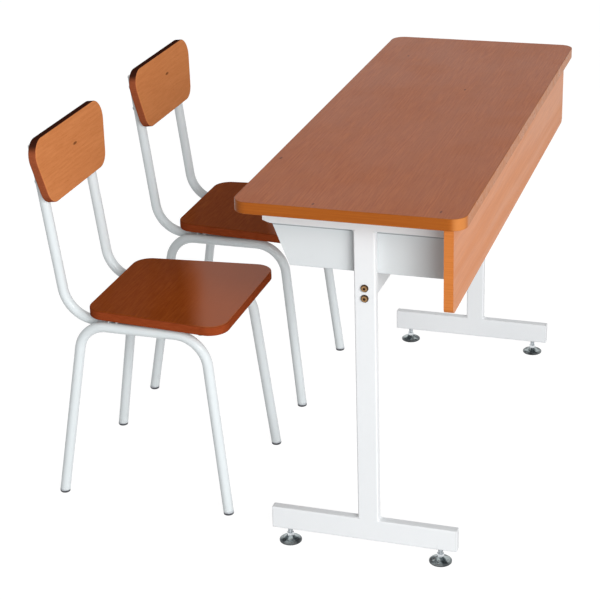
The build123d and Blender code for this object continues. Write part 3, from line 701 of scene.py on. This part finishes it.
def saddle_bead(crossing, along, beside, own_radius, other_radius, rise):
    """The bead where a tube ends against another at a right angle, with its axis higher or lower by a rise.

    Going round the ending tube by an angle gives a height over the other tube's axis, and that tube's
    circle gives how far out from its axis the point lies. The curve spans the angles at which both exist.
    """
    half = np.pi / 2 + np.arcsin((other_radius - abs(rise)) / own_radius)
    share = np.sin(np.linspace(-np.pi / 2, np.pi / 2, 121))
    angle = half * share - np.sign(rise) * np.pi / 2
    height = rise + own_radius * np.sin(angle)
    out = np.sqrt(np.clip(other_radius**2 - height**2, 0, None))
    up = np.array([0, 0, 1.0])
    normal = np.outer(out, along) + np.outer(height, up)
    path = crossing + normal + np.outer(own_radius * np.cos(angle), beside)
    return bead(path, normal, chair_bead_radius)


def chair_beads(middle):
    """All weld beads of one chair, given where its middle lies along X.

    They join cross tubes to rails and back tubes, and back tubes to the front cross tube.
    """
    rise = cross_level - rail_level
    front_cross_y = seat_front_y - front_cross_setback
    rear_cross_y = seat_front_y - rear_cross_setback
    across = np.array([1.0, 0, 0])
    forward = np.array([0, 1.0, 0])
    beads = []
    for sign in (1, -1):
        joints = [(rail_x, front_cross_y, -1), (rail_x, rear_cross_y, -1)]
        joints += [(back_tube_x, rear_cross_y, 1), (back_tube_x, rear_cross_y, -1)]
        for x, y, inward in joints:
            crossing = np.array([middle + sign * x, y, rail_level])
            along = sign * inward * across
            beads.append(saddle_bead(crossing, along, forward, cross_tube_radius, chair_tube_radius, rise))
        crossing = np.array([middle + sign * back_tube_x, front_cross_y, cross_level])
        beads.append(saddle_bead(crossing, -forward, across, chair_tube_radius, cross_tube_radius, -rise))
    return beads


def beam_beads():
    """Straight beads down the seams between the cross beam and its end plates."""
    beads = []
    level = np.linspace(-1, 1, 151) * (beam_half.z - beam_bead_end_gap) + beam_middle.z
    for end in (1, -1):
        for face in (1, -1):
            y = beam_middle.y + face * beam_half.y
            path = np.stack([0 * level + end * beam_high.x, 0 * level + y, level], axis=-1)
            beads.append(bead(path, np.tile([0, float(face), 0], (len(level), 1)), beam_bead_radius))
    return beads


for side in ("right", "left"):
    for end in ("rear", "front"):
        foot = f"{side}_{end}_foot_stem"
        stem = add_piece(f"{foot}_threaded", [threaded_stem(foot)], stem_zinc, foot, 25.0)
        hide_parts(foot)
for chair, middle in chair_middles.items():
    add_piece(f"{chair}_weld_beads", chair_beads(middle), chair_paint, chair)
add_piece("cross_beam_weld_beads", beam_beads(), desk_paint, "desk_frame")

# Camera at the photograph's viewing angle
photo_width_pixels = 600
focal_length_pixels = 1677.34
camera_place = (3.3096, 1.0623, 1.8302)
turn, tilt, roll = (math.radians(angle) for angle in (108.32, 23.56, -1.83))
back = Vector((math.sin(turn) * math.cos(tilt), -math.cos(turn) * math.cos(tilt), math.sin(tilt)))
level_right = Vector((0, 0, 1)).cross(back).normalized()
level_up = back.cross(level_right)
right = math.cos(roll) * level_right + math.sin(roll) * level_up
up = math.cos(roll) * level_up - math.sin(roll) * level_right
camera_data = bpy.data.cameras.new("camera")
camera_data.sensor_width = 36.0
camera_data.lens = camera_data.sensor_width * focal_length_pixels / photo_width_pixels
camera_data.clip_end = 100.0
camera = bpy.data.objects.new("camera", camera_data)
camera_aim = Matrix((right, up, back)).transposed().to_4x4()
camera.matrix_world = Matrix.Translation(camera_place) @ camera_aim
bpy.context.scene.collection.objects.link(camera)
bpy.context.scene.camera = camera


def distant_lamp(name, way, share, spread):
    """A lamp far off along a way, as wide as a spread in degrees.

    A share of 1 shows a colour as it is written on a face that looks at the lamp.
    """
    data = bpy.data.lights.new(name, "SUN")
    data.energy = math.pi * share
    data.angle = math.radians(spread)
    lamp = bpy.data.objects.new(name, data)
    lamp.rotation_euler = Vector(way).to_track_quat("Z", "Y").to_euler()
    bpy.context.scene.collection.objects.link(lamp)
    return lamp


# Light: a broad lamp at the front right, a small one beside it for highlights on gloss, an even sky, and a
# weak fill for the sides that look away from the camera
sky_share = 0.35
lamp_share = 0.83
lamp_way = Vector((0.74, 0.62, 0.25)).normalized()
lamp_distance = 7.0
lamp_radius = 2.7
lit_middle = Vector((0.0, 0.1, 0.45))
lamp_data = bpy.data.lights.new("broad_lamp", "AREA")
lamp_data.shape = "DISK"
lamp_data.size = 2 * lamp_radius
lamp_data.energy = math.pi**2 * (lamp_distance**2 + lamp_radius**2) * lamp_share
lamp = bpy.data.objects.new("broad_lamp", lamp_data)
lamp.location = lit_middle + lamp_distance * lamp_way
lamp.rotation_euler = lamp_way.to_track_quat("Z", "Y").to_euler()
lamp.visible_glossy = False
bpy.context.scene.collection.objects.link(lamp)
distant_lamp("highlight_lamp", way=(0.66, 0.60, 0.45), share=0.09, spread=9)
fill = distant_lamp("fill_lamp", way=(-0.82, -0.55, 0.15), share=0.26, spread=60)
fill.visible_glossy = False


def seen_directly(work):
    """1 for rays that show the background: from the camera, off gloss or through glass."""
    kinds = ("Is Camera Ray", "Is Glossy Ray", "Is Transmission Ray")
    camera_ray, glossy, through = (work.node("ShaderNodeLightPath", {}, {}, kind) for kind in kinds)
    return camera_ray.maths("MINIMUM", camera_ray + glossy + through, 1.0)


white = (1, 1, 1, 1)
sky = bpy.data.worlds.new("even_sky")
bpy.context.scene.world = sky
work = Bench(sky)
strength = sky_share + seen_directly(work) * (1 - sky_share)
background = work.node("ShaderNodeBackground", {}, {"Color": white, "Strength": strength})
work.node("ShaderNodeOutputWorld", {}, {"Surface": background})

# Floor: white where it is open, with a soft trace of the object's shadow
floor_half_width = 20.0
floor_level = -0.0002
floor_grey = (0.50, 0.50, 0.50, 1)
glow_strength = 1.53
glow_share = 0.60
work = bench("pale_floor")
board = work.node("ShaderNodeBsdfDiffuse", {}, {"Color": floor_grey})
glow = work.node("ShaderNodeEmission", {}, {"Color": white, "Strength": glow_strength})
both = work.node("ShaderNodeMixShader", {}, {0: seen_directly(work) * glow_share, 1: board, 2: glow})
work.node("ShaderNodeOutputMaterial", {}, {"Surface": both})
floor_mesh = bpy.data.meshes.new("floor")
corners = np.array([[-1, -1], [1, -1], [1, 1], [-1, 1]]) * floor_half_width
floor_mesh.from_pydata(np.column_stack([corners, np.full(4, floor_level)]).tolist(), [], [(0, 1, 2, 3)])
floor_mesh.materials.append(work.owner)
floor = bpy.data.objects.new("floor", floor_mesh)
bpy.context.scene.collection.objects.link(floor)

bpy.context.scene.view_settings.view_transform = "Standard"
